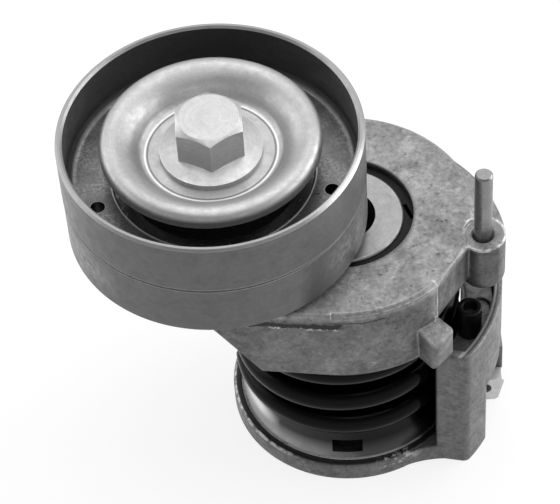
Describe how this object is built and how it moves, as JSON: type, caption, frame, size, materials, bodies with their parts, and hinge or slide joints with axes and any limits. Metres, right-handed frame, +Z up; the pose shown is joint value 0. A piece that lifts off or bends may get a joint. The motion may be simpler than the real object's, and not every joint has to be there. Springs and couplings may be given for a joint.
{
  "type": "belt tensioner",
  "caption": "Automatic belt tensioner with a smooth flat idler pulley on a cast arm that swings about a base against a coil spring, with a pull-out lock pin.",
  "frame": {"origin": "pivot axis where it meets the base's seating face", "axes": "+Z up along the pivot and pulley axes, away from the seating face; -X towards the pulley; -Y towards the stop column's front face"},
  "size_m": [0.1017, 0.07, 0.1012],
  "materials": {
    "cast_base": "raw die casting",
    "cast_arm": "raw die casting",
    "zinc_plate": "clear zinc plate, satin",
    "turned_steel": "fine turned",
    "black_polymer": "moulded",
    "dark_sheet": "dark satin",
    "spring_black": "black, semi-gloss",
    "pin_steel": "plain ground steel",
    "buffer_rubber": "smooth",
    "pulley_steel": "phosphated satin grey",
    "bearing_steel": "ground",
    "cage_brass": "pressed",
    "seal_rubber": "moulded"
  },
  "bodies": {
    "base": {"base_bracket": "cast_base", "column_wall": "cast_base", "mount_nut": "zinc_plate", "pivot_tube": "turned_steel", "thrust_washer": "black_polymer", "spring_seat": "dark_sheet", "torsion_spring": "spring_black", "stop_peg": "pin_steel", "stop_buffer": "buffer_rubber"},
    "arm": {"tensioner_arm": "cast_arm", "pivot_bush": "black_polymer", "spring_guide": "black_polymer", "spring_cap": "black_polymer", "bearing_inner_ring": "bearing_steel", "pulley_spacer": "turned_steel", "dust_cap": "zinc_plate", "pulley_bolt": "zinc_plate"},
    "pulley": {"pulley_rim": "pulley_steel", "pulley_web": "pulley_steel", "bearing_outer_ring": "bearing_steel", "front_seal": "seal_rubber", "rear_seal": "seal_rubber"},
    "cage": {"ball_cage": "cage_brass", "bearing_balls": "bearing_steel"},
    "pin": {"lock_pin": "pin_steel"}
  },
  "joints": [
    {"name": "arm_swing", "type": "hinge", "parent": "base", "child": "arm", "pos_m": [0, 0, 0], "axis": [0, 0, 1], "range_deg": [0, 21]},
    {"name": "pulley_spin", "type": "hinge", "parent": "arm", "child": "pulley", "pos_m": [-0.0288, 0, 0.0754], "axis": [0, 0, 1], "continuous": true},
    {"name": "cage_spin", "type": "hinge", "parent": "arm", "child": "cage", "pos_m": [-0.0288, 0, 0.0754], "axis": [0, 0, 1], "continuous": true},
    {"name": "pin_pull", "type": "slide", "parent": "arm", "child": "pin", "axis": [0, 0, 1], "range_m": [-0.0155, 0.0135]}
  ],
  "couplings": [
    {"joint": "cage_spin", "follows": "pulley_spin", "ratio": 0.6176}
  ]
}
